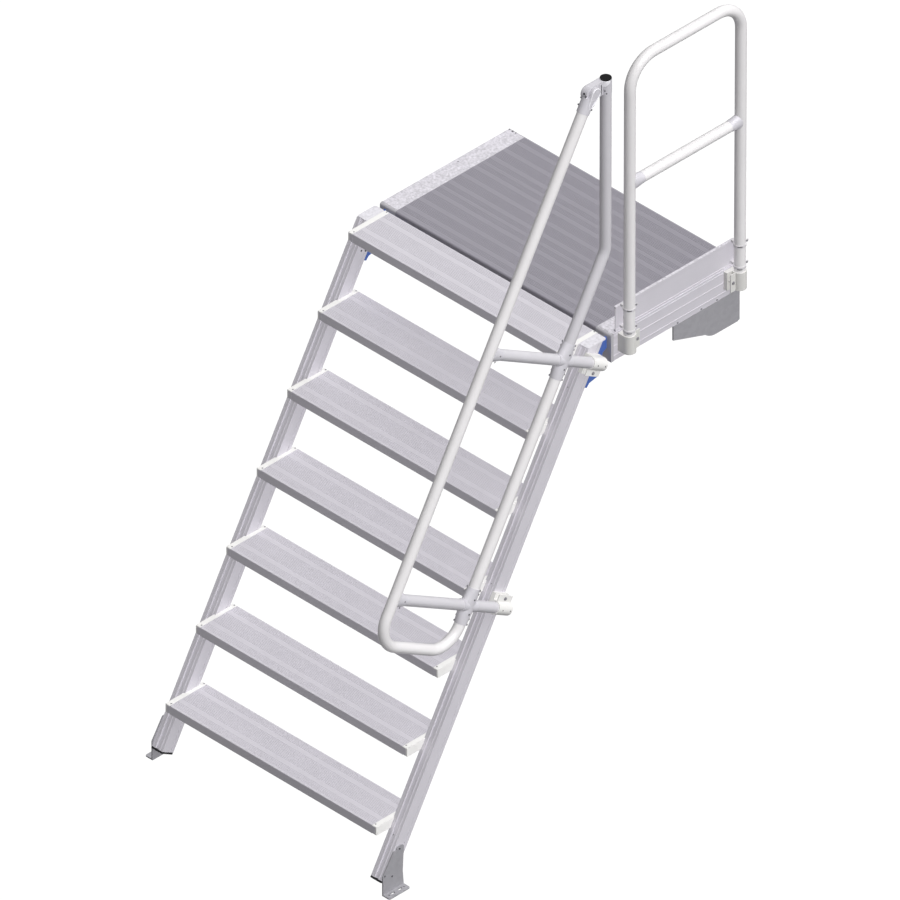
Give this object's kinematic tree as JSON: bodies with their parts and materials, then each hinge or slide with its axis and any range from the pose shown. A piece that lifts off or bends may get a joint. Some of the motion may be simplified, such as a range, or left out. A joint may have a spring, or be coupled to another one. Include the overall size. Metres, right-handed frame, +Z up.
{
  "type": "platform stair",
  "caption": "Steep aluminium wall stair with ribbed treads, a landing platform with guardrail and toe board, and a looped handrail on one side.",
  "frame": {"origin": "centre of the underside of the left floor flange, on the floor", "axes": "+X across the stair to the right as one climbs it, +Y into the wall, +Z up"},
  "size_m": [1.179, 1.735, 2.8599],
  "materials": {
    "stringer_aluminium": "mill-finished extrusion, satin",
    "tread_aluminium": "ribbed extrusion, satin",
    "deck_aluminium": "dark ribbed extrusion, matte",
    "end_cap_grey": "mid-grey moulded end cap",
    "beam_aluminium": "mill-finished extrusion, satin",
    "galvanised_steel": "zinc-plated plate",
    "fitting_alloy": "cast alloy, satin",
    "rail_tube": "pale powder coat",
    "post_tube": "lavender-grey powder coat",
    "cap_plastic": "warm white moulded plastic",
    "black_plastic": "black moulded plastic",
    "blue_steel": "blue coated plate"
  },
  "bodies": {
    "root": {"beam_end_caps": "end_cap_grey", "cross_fitting_lower": "fitting_alloy", "cross_fitting_upper": "fitting_alloy", "crossbar_clamp_lower": "cap_plastic", "crossbar_clamp_upper": "cap_plastic", "crossbar_lower": "post_tube", "crossbar_tees": "fitting_alloy", "crossbar_upper": "post_tube", "deck_nosing": "deck_aluminium", "deck_plank_1": "deck_aluminium", "deck_plank_2": "deck_aluminium", "deck_plank_3": "deck_aluminium", "foot_bracket_left": "galvanised_steel", "foot_bracket_right": "galvanised_steel", "guardrail_hoop": "rail_tube", "handrail_elbow": "fitting_alloy", "handrail_loop": "rail_tube", "handrail_lower_tube": "rail_tube", "handrail_post": "post_tube", "joining_plates": "blue_steel", "knee_rail": "rail_tube", "knee_rail_tees": "fitting_alloy", "post_clamp_front": "cap_plastic", "post_clamp_rear": "cap_plastic", "post_plug": "black_plastic", "side_beam_left": "beam_aluminium", "side_beam_right": "beam_aluminium", "stringer_foot_caps": "black_plastic", "stringer_left": "stringer_aluminium", "stringer_right": "stringer_aluminium", "stringer_top_caps": "cap_plastic", "toe_board": "beam_aluminium", "toe_clips": "beam_aluminium", "tread_1": "tread_aluminium", "tread_2": "tread_aluminium", "tread_3": "tread_aluminium", "tread_4": "tread_aluminium", "tread_5": "tread_aluminium", "tread_6": "tread_aluminium", "tread_7": "tread_aluminium", "tread_end_caps_left": "cap_plastic", "tread_end_caps_right": "cap_plastic", "tube_plugs": "black_plastic", "wall_bracket_left": "galvanised_steel", "wall_bracket_right": "galvanised_steel"}
  },
  "joints": []
}
